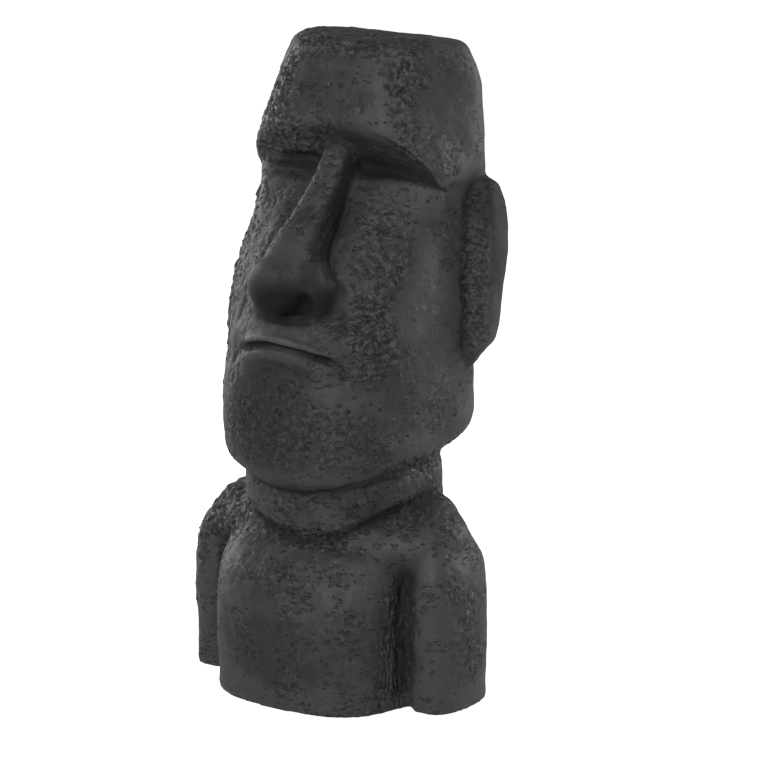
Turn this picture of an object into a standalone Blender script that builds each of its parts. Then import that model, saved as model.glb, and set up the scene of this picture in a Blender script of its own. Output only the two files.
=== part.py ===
"""A cast garden statue in the form of a moai: one solid, standing on its flat underside.

Run with:  blender --background --python part.py

Units are metres, +Z is up and the face looks along -Y. The origin lies on the ground,
at the centre of the statue's box. Sizes in the tables are millimetres.

The statue is made as a carver would make it. Its masses are roughed out as lofts through
a few stations (head, nose, neck, torso, shoulders, arms and ears), then fused. The lips,
nostrils, folds and grooves are carved into that mass by functions of place.
"""

import math

import bmesh
import bpy
import numpy as np

MM = 0.001

# Overall sizes, metres
HEIGHT = 0.535
WIDTH = 0.265
DEPTH = 0.190

# Fineness
VOXEL = 2.2 * MM
RING_POINTS = 160
RING_STEP = 3.0
MOST_TRIANGLES = 9000
GROUND_SLACK = 0.02

# A station of a loft is one level ring:
# height, half width in front, half width behind, front, middle, back,
# squareness in front, squareness behind, rise of the ring from front to back.
FACE = (
    (183, 38, 46, -28, 8, 52, 2.2, 2.6, 0.22),
    (191, 57, 78, -49, 9, 76, 2.2, 3.2, 0.22),
    (203, 73, 95, -66, 10, 92, 2.3, 4.2, 0.21),
    (218, 83, 98, -74, 11, 95, 2.4, 5.0, 0.16),
    (248, 85, 97, -76, 12, 95, 2.5, 5.4, 0.06),
    (290, 86, 96, -66, 15, 95, 2.5, 5.2, 0.0),
    (320, 90, 96, -55, 18, 95, 2.5, 5.2, 0.0),
    (346, 89, 96, -44, 22, 95, 2.5, 5.2, 0.0),
    (367, 87, 97, -32, 28, 95, 2.5, 5.2, 0.0),
    (388, 84, 99, -15, 33, 95, 2.5, 5.4, 0.0),
    (410, 87, 100, 2, 37, 95, 2.6, 5.6, 0.0),
    (430, 91, 102, 15, 40, 95, 2.8, 5.6, 0.0),
    (475, 88, 102, 25, 46, 95, 2.8, 5.6, 0.0),
)
FOREHEAD = (
    (405, 89, 100, 10, 40, 95, 2.6, 5.6, 0.0),
    (432, 92, 102, 7, 41, 95, 2.9, 5.6, 0.0),
    (450, 84, 102, 3, 40, 95, 3.3, 5.6, 0.0),
    (467, 75, 102, 2, 40, 95, 3.5, 5.6, 0.0),
    (485, 69, 101, 5, 42, 95, 3.7, 5.4, 0.0),
    (505, 61, 99, 12, 46, 95, 3.7, 5.0, 0.0),
    (520, 56, 92, 19, 50, 94, 3.4, 4.0, 0.0),
    (530, 50, 79, 27, 52, 89, 3.0, 3.4, 0.0),
    (535, 36, 58, 38, 54, 78, 2.6, 2.8, 0.0),
)
NOSE = (
    (322, 20, 24, -56, -30, 10, 2.6, 2.0, 0.0),
    (334, 25, 29, -70, -36, 10, 2.4, 2.0, 0.0),
    (348, 26, 30, -78, -36, 12, 2.3, 2.0, 0.0),
    (362, 25, 30, -78, -32, 16, 2.3, 2.0, 0.0),
    (374, 24, 28, -72, -26, 22, 2.8, 2.0, 0.0),
    (385, 20.5, 28, -59, -18, 30, 3.8, 2.0, 0.0),
    (401, 17, 26, -36, -4, 40, 4.6, 2.0, 0.0),
    (422, 14.5, 23, -12, 14, 50, 4.6, 2.0, 0.0),
    (442, 14, 22, 5, 26, 60, 3.6, 2.0, 0.0),
    (458, 16, 24, 12, 38, 60, 2.6, 2.0, 0.0),
)
NECK = (
    (110, 76, 84, -45, 10, 68, 2.2, 3.4, 0.0),
    (138, 77, 85, -47, 10, 69, 2.2, 3.4, 0.0),
    (158, 76, 85, -51, 10, 70, 2.2, 3.4, 0.0),
    (200, 74, 84, -48, 10, 70, 2.2, 3.4, 0.0),
    (240, 68, 78, -40, 10, 66, 2.2, 3.4, 0.0),
)
TORSO = (
    (-12, 85, 96, -80, 4, 70, 2.8, 3.4, 0.0),
    (0, 85, 96, -80, 4, 71, 2.8, 3.4, 0.0),
    (50, 86, 98, -81, 4, 73, 2.9, 3.4, 0.0),
    (95, 86, 98, -79, 4, 74, 2.8, 3.4, 0.04),
    (120, 84, 95, -70, 6, 73, 2.6, 3.2, 0.10),
    (138, 78, 88, -55, 8, 70, 2.4, 3.0, 0.16),
    (150, 64, 76, -36, 10, 62, 2.2, 2.6, 0.18),
)
SHOULDERS = (
    (40, 112, 114, -4, 20, 54, 2.2, 2.4, 0.0),
    (95, 121, 121, -24, 16, 56, 2.2, 2.4, 0.0),
    (118, 122, 122, -36, 14, 57, 2.2, 2.4, 0.0),
    (135, 118, 119, -38, 14, 58, 2.2, 2.4, 0.0),
    (148, 109, 113, -25, 16, 58, 2.2, 2.4, 0.0),
    (158, 94, 104, -6, 20, 55, 2.2, 2.4, 0.0),
    (165, 75, 89, 11, 24, 49, 2.2, 2.2, 0.0),
)
SHOULDER_LEAN = 0.03
ARM = (
    (-12, 23, 26, -24, 12, 54, 2.4, 2.3, 0.0),
    (0, 23, 26, -24, 12, 55, 2.4, 2.3, 0.0),
    (60, 24, 27, -25, 12, 56, 2.4, 2.3, 0.0),
    (100, 23, 26, -25, 13, 55, 2.4, 2.3, 0.0),
    (125, 18, 20, -18, 15, 49, 2.3, 2.3, 0.0),
    (140, 9, 10, -6, 17, 36, 2.2, 2.2, 0.0),
)
ARM_CENTRE = 106
EAR = (
    (270, 2, 2, -15, -12, -9, 2.0, 2.0, 0.0),
    (280, 6.5, 6.5, -17, -10, -3, 2.6, 2.6, 0.0),
    (291, 9.2, 9.2, -17, -7, 3, 3.2, 3.0, 0.0),
    (303, 10, 10, -17, -5, 8, 3.8, 3.2, 0.0),
    (340, 11, 11, -17, -2, 13, 4.2, 3.2, 0.0),
    (375, 12, 12, -17, 0, 17, 4.2, 3.2, 0.0),
    (398, 11.5, 11.5, -17, 0, 16.5, 3.8, 3.2, 0.0),
    (412, 9.5, 9.5, -14, 0, 14, 3.2, 3.0, 0.0),
    (422, 6, 6, -9, 0, 9, 2.6, 2.6, 0.0),
    (425, 3, 3, -5, 0, 5, 2.2, 2.2, 0.0),
)
EAR_PLACE, EAR_TURN = (105, 76), 4
WING = (20.5, -46, 341), (15, 21, 18)
NOSE_TIP = (0, -74.5, 354), (23, 21.5, 22)

# The brow: its crest falls gently from the middle, then steeply to the temple. Its
# underside runs back and down from the crest to the socket line.
CREST_TOP, CREST_END = 470, 425
SOCKET_TOP, SOCKET_END = 434, 423
BROW_HALF = 90
GENTLE_FALL, FALL_POWER = 0.26, 7
UNDERSIDE_POWER = 1.3

# Soft swellings and hollows of the face, up to where the front ends:
# sideways, height, half width, half height, how far forward
SWELLINGS = (
    (0, 311, 36, 24, 17),
    (0, 236, 50, 32, 3),
    (0, 280, 30, 9, -3),
    (30, 436, 17, 8, -6),
    (36, 372, 14, 40, 4),
    (50, 288, 8, 10, -3),
)
FRONT_ENDS = (40, 5)

# The mouth: its line lies across the muzzle and turns down at the corners.
MUZZLE_FRONT, MUZZLE_TOP = (-38, -48), (334, 322)
MOUTH_HALF, MOUTH_HEIGHT, MOUTH_DROP, DROP_POWER = 47, 303, 12.5, 1.5
MOUTH_DEPTH, MOUTH_GAP = 6.0, 2.2
LIP_OUT, UPPER_LIP, LOWER_LIP, LOWER_SHARE = 2.8, 5.0, 8.5, 0.8
UPPER_HALF, LOWER_HALF = 4.2, 7.0
NOSTRIL, NOSTRIL_WAY = ((12, -60, 327), (6, 9, 9)), (0, 0.7, 1)

# The groove between torso and arm, and the crease round the foot of the neck
GROOVE_X, GROOVE_DEPTH, GROOVE_HALF = 85, 6, 7
GROOVE_FADE, GROOVE_FRONT = (140, 90), (10, -4)
CREASE_FRONT, CREASE_SIDE, CREASE_REACH = 137, 164, 80
CREASE_DEPTH, CREASE_HALF = 5, 5
CREASE_BACK, CREASE_EDGE = (50, 30), (100, 84)
NECK_AXIS = (0, 12)

# Rounding of the joins: body below and beside, nose round its tip and wings
JOIN_ROUNDS, FUSE_ROUNDS = 16, 2
BODY_TOP, BODY_SIDE = (172, 150), (60, 74)
NOSE_SHARE, NOSE_SPAN = 0.9, ((376, 362), (316, 328), (42, 34), (-30, -44))


def hermite(at, knots, values):
    """A smooth curve through the values at the knots."""
    slopes = np.gradient(values, knots)
    i = np.clip(np.searchsorted(knots, at) - 1, 0, len(knots) - 2)
    span = knots[i + 1] - knots[i]
    t = (at - knots[i]) / span
    return (
        (2 * t**3 - 3 * t**2 + 1) * values[i]
        + (t**3 - 2 * t**2 + t) * span * slopes[i]
        + (3 * t**2 - 2 * t**3) * values[i + 1]
        + (t**3 - t**2) * span * slopes[i + 1]
    )


def step(low, high, x):
    """0 below low, 1 above high, smooth between."""
    t = np.clip((x - low) / (high - low), 0.0, 1.0)
    return t * t * (3 - 2 * t)


def signed_power(value, power):
    return np.sign(value) * np.abs(value) ** power


def ring(stations, height):
    """Points of the level ring at this height, counter-clockwise from +X."""
    table = np.array(stations, float)
    row = [hermite(height, table[:, 0], table[:, k]) for k in range(1, 9)]
    w_front, w_back, front, middle, back, n_front, n_back, rise = row
    angle = np.linspace(0, 2 * math.pi, 4 * RING_POINTS, endpoint=False)
    c, s = np.cos(angle), np.sin(angle)
    n = np.where(s > 0, n_back, n_front)
    reach = np.where(s > 0, back - middle, middle - front)
    y = middle + reach * signed_power(s, 2 / n)
    toward_back = step(0, 1, (y - front) / (back - front))
    x = (w_front + (w_back - w_front) * toward_back) * signed_power(c, 2 / n)
    points = np.stack([x, y, height + rise * (y - middle)], axis=1)
    # Spread the points evenly round the ring.
    ends = np.vstack([points, points[:1]])
    along = np.concatenate([[0], np.cumsum(np.linalg.norm(np.diff(ends, axis=0), axis=1))])
    even = np.linspace(0, along[-1], RING_POINTS, endpoint=False)
    return np.stack([np.interp(even, along, ends[:, k]) for k in range(3)], axis=1)


def levels(stations):
    low, high = stations[0][0], stations[-1][0]
    return np.linspace(low, high, max(6, round((high - low) / RING_STEP) + 1))


def skin(name, rings):
    """A closed object through the rings."""
    bm = bmesh.new()
    rows = [[bm.verts.new(p * MM) for p in points] for points in rings]
    for lower, upper in zip(rows, rows[1:]):
        for k in range(len(lower)):
            j = (k + 1) % len(lower)
            bm.faces.new((lower[k], lower[j], upper[j], upper[k]))
    bm.faces.new(list(reversed(rows[0])))
    bm.faces.new(rows[-1])
    bmesh.ops.recalc_face_normals(bm, faces=bm.faces)
    mesh = bpy.data.meshes.new(name)
    bm.to_mesh(mesh)
    bm.free()
    obj = bpy.data.objects.new(name, mesh)
    bpy.context.scene.collection.objects.link(obj)
    return obj


def loft(name, stations, centre=(0.0, 0.0), turn=0.0, hold=0, lean=0.0):
    """A loft through the stations, turned about Z in degrees and set at the centre.

    With hold, a narrower ring keeps that end (-1 or 1) in line with the widest one.
    With lean, each ring rises that much for each millimetre towards +X.
    """
    c, s = math.cos(math.radians(turn)), math.sin(math.radians(turn))
    turned = np.array([[c, s, 0], [-s, c, 0], [0, 0, 1]])
    widest = max(station[1] for station in stations)
    rings = []
    for z in levels(stations):
        points = ring(stations, z)
        points[:, 0] += hold * (widest - points[:, 0].max())
        points[:, 2] += lean * points[:, 0]
        rings.append(points @ turned + (*centre, 0.0))
    return skin(name, rings)


def swell(points):
    """Moves the front of the head out or in by the swellings, on both sides alike."""
    x, z = np.abs(points[:, 0]), points[:, 2]
    out = np.zeros(len(points))
    for across, height, half, tall, forward in SWELLINGS:
        out += forward * np.exp(-(((x - across) / half) ** 2) - ((z - height) / tall) ** 2)
    points[:, 1] -= out * step(*FRONT_ENDS, points[:, 1])
    return points


def head():
    """Face below the brow, forehead above it, joined by the underside of the brow."""
    rings = []
    top = FOREHEAD[-1][0]
    for z in np.linspace(FACE[0][0], top, round((top - FACE[0][0]) / RING_STEP) + 1):
        if z <= FOREHEAD[0][0]:
            rings.append(swell(ring(FACE, z)))
            continue
        above = ring(FOREHEAD, z)
        if z > FACE[-1][0]:
            rings.append(above)
            continue
        below = swell(ring(FACE, z))
        side = np.clip(np.abs(above[:, 0]) / BROW_HALF, 0, 1)
        fall = GENTLE_FALL * side + (1 - GENTLE_FALL) * side**FALL_POWER
        crest = CREST_TOP + (CREST_END - CREST_TOP) * fall
        socket = SOCKET_TOP + (SOCKET_END - SOCKET_TOP) * fall
        share = np.clip((z - socket) / np.maximum(crest - socket, RING_STEP), 0, 1)
        rings.append(below + (above - below) * share[:, None] ** UNDERSIDE_POWER)
    return skin("head", rings)


def ball(name, centre, radii, turn=(0.0, 0.0, 0.0)):
    """An ellipsoid, turned about X, Y and Z in degrees."""
    bpy.ops.mesh.primitive_uv_sphere_add(segments=48, ring_count=32, radius=1.0)
    obj = bpy.context.object
    obj.name = name
    obj.scale = [r * MM for r in radii]
    obj.rotation_euler = [math.radians(a) for a in turn]
    obj.location = [c * MM for c in centre]
    return obj


def mouth_line(x):
    """Height of the mouth's line at this distance from the middle."""
    across = np.clip(x / MOUTH_HALF, 0, 1.3)
    return MOUTH_HEIGHT - MOUTH_DROP * across**DROP_POWER


def dent(points, centre, radii, way):
    """Pushes the points inside an ellipsoid out of it, along the way given."""
    way = np.array(way, float) / np.linalg.norm(way)
    p = (points - centre) / radii
    w = way / radii
    inside = (p * p).sum(axis=1) < 1
    a, b, c = w @ w, p @ w, (p * p).sum(axis=1) - 1
    far = (-b + np.sqrt(np.maximum(b * b - a * c, 0))) / a
    points[inside] += way * far[inside, None]


def bump(distance, half):
    """A smooth bump: 1 at no distance, about a third at the half width."""
    return np.exp(-((distance / half) ** 2))


def carve_mouth(points):
    """The lips stand out on both sides of a pressed line."""
    x, y, z = np.abs(points[:, 0]), points[:, 1], points[:, 2]
    above = z - mouth_line(x)
    lips = bump(above - UPPER_LIP, UPPER_HALF)
    lips += LOWER_SHARE * bump(above + LOWER_LIP, LOWER_HALF)
    lips *= step(MOUTH_HALF, 0.62 * MOUTH_HALF, x)
    line = bump(above, MOUTH_GAP) * step(1.04 * MOUTH_HALF, 0.8 * MOUTH_HALF, x)
    front = step(*MUZZLE_FRONT, y) * step(*MUZZLE_TOP, z)
    points[:, 1] -= (LIP_OUT * lips - MOUTH_DEPTH * line) * front


def carve_body(points):
    """The groove beside each arm and the crease round the neck."""
    x, y, z = np.abs(points[:, 0]), points[:, 1], points[:, 2]
    groove = GROOVE_DEPTH * bump(x - GROOVE_X, GROOVE_HALF)
    points[:, 1] += groove * step(*GROOVE_FADE, z) * step(*GROOVE_FRONT, y)
    rise = np.clip(x / CREASE_REACH, 0, 1.2) ** 2
    collar = CREASE_FRONT + (CREASE_SIDE - CREASE_FRONT) * rise
    pinch = bump(z - collar, CREASE_HALF) * step(*CREASE_BACK, y) * step(*CREASE_EDGE, x)
    outward = points[:, :2] - NECK_AXIS
    outward /= np.linalg.norm(outward, axis=1)[:, None] + 1e-9
    points[:, :2] -= outward * (CREASE_DEPTH * pinch)[:, None]


def carve(mesh):
    """The mouth, the nostrils and the grooves, cut into the fused mass."""
    points = read_points(mesh)
    carve_mouth(points)
    for side in (-1, 1):
        centre, radii = NOSTRIL
        dent(points, np.array(centre) * (side, 1, 1), np.array(radii), NOSTRIL_WAY)
    carve_body(points)
    write_points(mesh, points)


def apply(obj, kind, **settings):
    """Adds a modifier with these settings and applies it."""
    modifier = obj.modifiers.new(kind.lower(), kind)
    for key, value in settings.items():
        setattr(modifier, key, value)
    bpy.ops.object.modifier_apply(modifier=modifier.name)


def blend_joins(statue):
    """Rounds the joins of the arms and shoulders, and those of the nose."""
    points = read_points(statue.data)
    x, y, z = np.abs(points[:, 0]), points[:, 1], points[:, 2]
    body = step(*BODY_TOP, z) * step(*BODY_SIDE, x)
    top, foot, side, front = NOSE_SPAN
    nose = step(*top, z) * step(*foot, z) * step(*side, x) * step(*front, y)
    weights = np.maximum(body, NOSE_SHARE * nose)
    group = statue.vertex_groups.new(name="joins")
    for i in np.nonzero(weights)[0]:
        group.add([int(i)], float(weights[i]), "REPLACE")
    apply(statue, "SMOOTH", iterations=JOIN_ROUNDS, vertex_group=group.name)


def roughed_out():
    """The masses, fused into one mesh."""
    pieces = [head(), loft("nose", NOSE), loft("neck", NECK), loft("torso", TORSO)]
    pieces.append(loft("shoulders", SHOULDERS, lean=SHOULDER_LEAN))
    pieces.append(ball("nose_tip", *NOSE_TIP))
    for side in (-1, 1):
        pieces.append(loft("arm", ARM, (side * ARM_CENTRE, 0)))
        place = (side * EAR_PLACE[0], EAR_PLACE[1])
        pieces.append(loft("ear", EAR, place, side * EAR_TURN, -side))
        centre, radii = WING
        pieces.append(ball("wing", (side * centre[0], *centre[1:]), radii))
    bpy.ops.object.select_all(action="DESELECT")
    for piece in pieces:
        piece.select_set(True)
    bpy.context.view_layer.objects.active = pieces[0]
    bpy.ops.object.join()
    statue = bpy.context.object
    statue.name = statue.data.name = "moai_statue"
    bpy.ops.object.transform_apply()
    apply(statue, "REMESH", mode="VOXEL", voxel_size=VOXEL)
    apply(statue, "SMOOTH", iterations=FUSE_ROUNDS)
    blend_joins(statue)
    return statue


def read_points(mesh):
    points = np.empty(len(mesh.vertices) * 3, np.float32)
    mesh.vertices.foreach_get("co", points)
    return points.reshape(-1, 3).astype(float) / MM


def write_points(mesh, points):
    mesh.vertices.foreach_set("co", (points * MM).ravel().astype(np.float32))
    mesh.update()


def cut_flat(mesh):
    """Cuts the foot off flat at the ground and closes it."""
    bm = bmesh.new()
    bm.from_mesh(mesh)
    geometry = [*bm.verts, *bm.edges, *bm.faces]
    cut = bmesh.ops.bisect_plane(
        bm, geom=geometry, plane_co=(0, 0, 0), plane_no=(0, 0, 1), clear_inner=True
    )
    rim = [e for e in cut["geom_cut"] if isinstance(e, bmesh.types.BMEdge)]
    bmesh.ops.holes_fill(bm, edges=rim, sides=0)
    bmesh.ops.triangulate(bm, faces=bm.faces)
    bm.to_mesh(mesh)
    bm.free()


def set_to_size(mesh):
    """Brings the box to the overall sizes, centred over the origin and on the ground."""
    points = read_points(mesh)
    points[points[:, 2] < GROUND_SLACK, 2] = 0
    low, high = points.min(axis=0), points.max(axis=0)
    sizes = np.array([WIDTH, DEPTH, HEIGHT]) / MM
    middle = (low + high) / 2 * (1, 1, 0)
    write_points(mesh, (points - middle) * sizes / (high - low))


def cast_stone():
    material = bpy.data.materials.new("charcoal_cast_stone")
    material.use_nodes = True
    shader = material.node_tree.nodes["Principled BSDF"]
    shader.inputs["Base Color"].default_value = (0.045, 0.045, 0.047, 1)
    shader.inputs["Roughness"].default_value = 0.7
    return material


def main():
    for old in list(bpy.data.objects):
        bpy.data.objects.remove(old)
    statue = roughed_out()
    mesh = statue.data
    carve(mesh)
    cut_flat(mesh)
    apply(statue, "DECIMATE", ratio=MOST_TRIANGLES / len(mesh.polygons))
    set_to_size(mesh)
    mesh.materials.append(cast_stone())
    collection = bpy.data.collections.new("moai")
    bpy.context.scene.collection.children.link(collection)
    for owner in list(statue.users_collection):
        owner.objects.unlink(statue)
    collection.objects.link(statue)


main()
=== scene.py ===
"""Looks of a cast garden statue in the form of a moai.

The statue is one cast piece. A merged copy of the frame's solid is rebuilt fine, the face
and body are carved more closely, and the hewn surface (lumps, scoops, chipped flats, pecks,
strokes and pits) is cut into it by Geometry Nodes. Its finish is matt charcoal cast stone.

Sizes in the tables are millimetres in the frame's axes: the face looks along -Y, +Z is up.
"""

import math
from functools import partial

import bmesh
import bpy
import numpy as np
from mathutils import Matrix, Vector
from mathutils.bvhtree import BVHTree


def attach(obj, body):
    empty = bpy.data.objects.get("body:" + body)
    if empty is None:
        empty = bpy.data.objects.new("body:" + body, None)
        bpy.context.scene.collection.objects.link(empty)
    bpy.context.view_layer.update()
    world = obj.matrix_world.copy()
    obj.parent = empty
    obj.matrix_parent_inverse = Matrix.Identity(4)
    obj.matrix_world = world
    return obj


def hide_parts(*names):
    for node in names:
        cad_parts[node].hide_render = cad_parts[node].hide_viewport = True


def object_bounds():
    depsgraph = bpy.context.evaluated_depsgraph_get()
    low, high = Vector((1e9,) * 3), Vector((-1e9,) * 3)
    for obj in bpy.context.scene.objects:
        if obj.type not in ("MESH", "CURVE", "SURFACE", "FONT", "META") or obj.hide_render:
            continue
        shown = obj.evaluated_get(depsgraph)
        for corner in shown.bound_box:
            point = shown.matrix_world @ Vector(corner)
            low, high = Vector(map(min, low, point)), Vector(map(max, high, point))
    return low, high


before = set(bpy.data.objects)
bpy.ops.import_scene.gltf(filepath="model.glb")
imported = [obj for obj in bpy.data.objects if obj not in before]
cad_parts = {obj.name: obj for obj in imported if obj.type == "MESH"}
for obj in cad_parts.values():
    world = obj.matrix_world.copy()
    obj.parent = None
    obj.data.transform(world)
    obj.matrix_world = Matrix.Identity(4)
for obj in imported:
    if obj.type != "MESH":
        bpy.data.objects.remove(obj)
CAD_BOX = [list(corner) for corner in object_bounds()]

bl_info = {
    "name": "Moai Garden Statue",
    "version": (1, 0, 0),
    "blender": (4, 5, 0),
    "location": "View3D > Sidebar > Moai",
    "description": "Carves and finishes a moai garden statue on its packed solid",
    "category": "Object",
}

MM = 0.001
NODE = "moai_statue"
SLOT = "charcoal_cast_stone"
LOW, HIGH = (np.array(corner) / MM for corner in CAD_BOX)

# ---------------------------------------------------------------- carving tables


def both_sides(centre, radii, strength):
    """A soft place and its mirror image on the other side."""
    x, y, z = centre
    return ((x, y, z), radii, strength), ((-x, y, z), radii, strength)


# The brow's crest and the socket under it: x, then the height
CREST = ((0, 476), (20, 476), (34, 473), (47, 468), (63, 460), (74, 452), (81, 443), (86, 434),
         (91, 425))
SOCKET = ((0, 429), (27, 427), (40, 429), (48, 430), (66, 428), (79, 426), (92, 420))
LEAST_SOCKET = 5
# How deep the visor is cut in, the far side's share of it, and how far its lip stands out
VISOR_DEPTH = 4.0
FAR_VISOR = 0.3
CREST_LIP = 1.0

# Smoothing of the rebuilt solid: its faces against the final ones, rounds and share of each
# round, how firmly the crest is held, and the rounds that melt the nose together
FIRST_COARSENESS = 1.2
FORM_SMOOTHING = (12, 0.6)
CREST_HELD = 0.85
MELT_ROUNDS = 30

# Soft limits of the carving, on x, y or z: where it starts to show, then where it is whole
BROW_FRONT = (45, 25)
BROW_ENDS = (94, 84)
BROW_MIDDLE = (6, 24)
NOSE_FRONT = (40, 30)
NOSE_FOOT = (362, 376)
NOSE_TOP = (462, 446)
OFF_GROUND = (0.5, 4)
# What lies lower than this is set flat on the ground
GROUND_SLACK = 0.6

# The nose's side planes: height, x of the ridge's edge, x of the fold beside it
NOSE_SIDE = ((362, 23, 27), (375, 20, 24), (384, 17, 22), (399, 13, 19), (418, 11, 17),
             (436, 10, 17), (455, 9, 18))
NOSE_HOLLOW = 2.5

# Where the nose's ball, wings and ridge melt together: centre, radii, how much
MELT_PLACES = (
    *both_sides((18, -62, 352), (16, 18, 18), 1.0),
    ((0, -74, 376), (16, 16, 12), 1.0),
)

# Soft pushes: centre, radii, way (x, y, z), how far, mirrored
PUSHES = (
    ((29, -46, 352), (8, 12, 13), (1, -0.7, 0), 6.5, True),
    ((17, -62, 350), (9, 10, 12), (0.6, -1, 0), 4.5, True),
    ((-92, 24, 421), (10, 16, 14), (1, 0.3, 0), 4.0, False),
    ((-90, 22, 403), (10, 20, 9), (1, 0.3, 0), 6.0, False),
    ((68, 80, 526), (36, 24, 12), (0.4, 0.3, 1), 5.0, False),
    ((122, 78, 350), (10, 24, 70), (1, 0, 0), 2.2, False),
    ((-114, 68, 410), (14, 20, 18), (1, 0, -0.6), 7.0, False),
    ((88, 42, 163), (18, 24, 9), (0.5, 0, 1), 4.0, False),
    ((-112, 15, 148), (16, 26, 12), (-0.6, 0, 1), 3.5, False),
    ((-56, -56, 203), (16, 18, 10), (-1, -0.3, -0.3), 3.5, False),
    ((30, -57, 335), (9, 9, 7), (0, -0.5, -1), 5.0, True),
    ((0, -80, 336), (16, 14, 7), (0, 0, -1), 3.0, False),
    ((22, -68, 334), (6.5, 10, 10), (0, 0.8, 1), 13.0, True),
    ((0, -66, 327), (22, 9, 5), (0, 1, 0.4), 2.5, False),
    ((42, 10, 434), (20, 16, 5), (0, 1, -0.1), 2.5, True),
    ((24, 14, 436), (9, 18, 8), (0, 1, 0), 3.5, False),
    ((104, 58, 276), (14, 14, 5), (0, 1, 0.6), 2.5, True),
    ((66, -40, 283), (14, 30, 20), (0, 1, 0), 1.5, True),
    ((95, 52, 345), (6, 9, 75), (0.4, -1, 0), 6.0, True),
    ((112, 68, 419), (12, 16, 9), (0.35, 0, 1), 6.0, False),
    ((112, 34, 143), (16, 28, 10), (0.4, 0, 1), 5.0, False),
    ((111, 70, 282), (12, 18, 8), (-0.4, 0, 1), 3.0, True),
)

# Cuts and ridges on the front: points (x, z) from one end to the other, half width, depth
# (below 0 is a ridge), share on the +X side, share on the -X side.
CUTS = (
    (((18, 434), (34, 436), (50, 435), (66, 431)), 3.4, 5.5, 0.0, 1.0),
    (((24, 427), (40, 426), (56, 425), (70, 422)), 2.0, -1.6, 0.15, 1.0),
    (((23, 423), (38, 421), (52, 421), (64, 421)), 1.5, 1.8, 0.1, 1.0),
    (((19, 422), (20, 409), (22, 398), (23.5, 386), (26, 374), (30, 364), (38, 354), (45, 346),
      (48, 334)), 2.0, 2.2, 1.0, 0.5),
    (((18, 409), (19, 398), (20.5, 387), (23, 375), (27, 363), (36, 351), (41, 340)),
     1.4, -1.3, 1.0, 0.4),
    (((46, 334), (50, 322), (52, 310)), 3.0, 1.4, 1.0, 0.8),
    (((36, 331), (23, 327.5), (8, 326), (-8, 326), (-23, 327.5), (-36, 331)),
     1.3, -1.5, 1.0, 0.0),
    (((35, 326.5), (22, 323.5), (8, 322), (-8, 322), (-22, 323.5)), 1.8, 1.8, 1.0, 0.0),
    (((-48, 289.5), (-37, 295), (-20, 301), (0, 304), (20, 301), (36, 295), (55, 287)),
     2.0, 5.6, 1.0, 0.0),
    (((-44, 297), (-22, 306), (0, 310), (22, 306), (44, 297)), 2.6, -1.8, 1.0, 0.0),
    (((-36, 287), (-20, 292.5), (0, 295), (20, 292.5), (36, 287)), 5.0, -0.5, 1.0, 0.0),
    (((47, 290), (52, 284), (54, 276)), 2.5, 1.3, 1.0, 1.0),
    (((-56, 179), (-21, 176.5), (8, 177), (37, 184), (56, 191), (72, 196)), 2.0, 2.0, 1.0, 0.0),
    (((-64, 151), (-43, 144), (-21, 137), (2, 134), (19, 135), (34, 140), (49, 147), (61, 154),
      (72, 163)), 2.4, 1.8, 1.0, 0.0),
    (((49, 148), (61, 154), (70, 161), (76, 165)), 5.0, 2.5, 1.0, 0.3),
    (((87, 122), (87, 90), (87, 50), (86, 2)), 4.0, 3.0, 1.0, 0.5),
)

# Places of rougher work: centre, radii, how rough
ROUGH_PLACES = (
    ((-66, 10, 495), (24, 26, 50), 1.0),
    ((-55, 0, 452), (45, 26, 22), 1.0),
    ((57, 26, 508), (12, 20, 34), 0.8),
    ((76, 16, 464), (16, 18, 18), 1.0),
    ((0, 30, 533), (75, 40, 10), 0.8),
    ((-84, -20, 330), (18, 50, 110), 0.8),
    ((68, -36, 312), (18, 20, 34), 0.85),
    ((64, -12, 374), (24, 26, 34), 0.3),
    *both_sides((108, 56, 345), (14, 9, 70), 1.0),
    ((-86, 0, 140), (40, 50, 34), 0.9),
    ((72, 10, 158), (34, 40, 14), 0.4),
    ((0, -50, 140), (60, 26, 10), 0.5),
    ((-84, -36, 60), (14, 30, 80), 0.4),
    ((70, 30, 198), (34, 50, 12), 0.7),
    ((0, -60, 230), (60, 40, 30), 0.4),
)
# Places left calm: centre, radii, how calm
SMOOTH_PLACES = (
    ((0, -76, 350), (26, 26, 24), 0.9),
    *both_sides((24, -50, 346), (17, 22, 20), 0.85),
    ((0, -80, 306), (52, 24, 18), 0.85),
    ((92, 24, 490), (22, 50, 34), 0.8),
    ((0, -70, 192), (60, 40, 10), 0.5),
    ((93, 10, 330), (10, 36, 70), 0.5),
    ((122, 78, 345), (12, 20, 70), 0.6),
    ((42, 20, 434), (26, 14, 7), 0.85),
)
# Places of painted shade under the brow, round and under the nose, under the lips, on the chin,
# under the jaw, in the arm grooves and on the ears: centre, radii, how dark
SHADE_PLACES = (
    ((10, 2, 460), (32, 22, 12), 0.55),
    ((38, 25, 434), (44, 20, 9), 1.0),
    ((-44, 14, 427), (27, 14, 7), 0.65),
    ((8, -80, 343), (26, 28, 22), 1.0),
    ((2, -74, 332), (32, 26, 9), 1.0),
    ((31, -54, 339), (14, 16, 17), 0.95),
    ((0, -62, 326), (32, 12, 7), 0.8),
    *both_sides((21, -66, 333), (10, 16, 11), 1.0),
    *both_sides((19, -60, 335), (12, 12, 11), 1.0),
    ((0, -74, 293), (44, 20, 8), 0.3),
    ((-8, -66, 240), (40, 24, 44), 0.45),
    ((70, -20, 164), (40, 40, 8), 0.5),
    ((87, -20, 50), (6, 20, 70), 0.2),
    ((-87, -20, 50), (6, 20, 70), 0.4),
    # On the ears the painted shade tones down where the light from the right falls
    ((124, 78, 345), (10, 24, 76), 0.6),
    ((112, 76, 408), (18, 22, 34), 0.7),
    ((-118, 76, 345), (14, 24, 76), 0.4),
)
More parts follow.
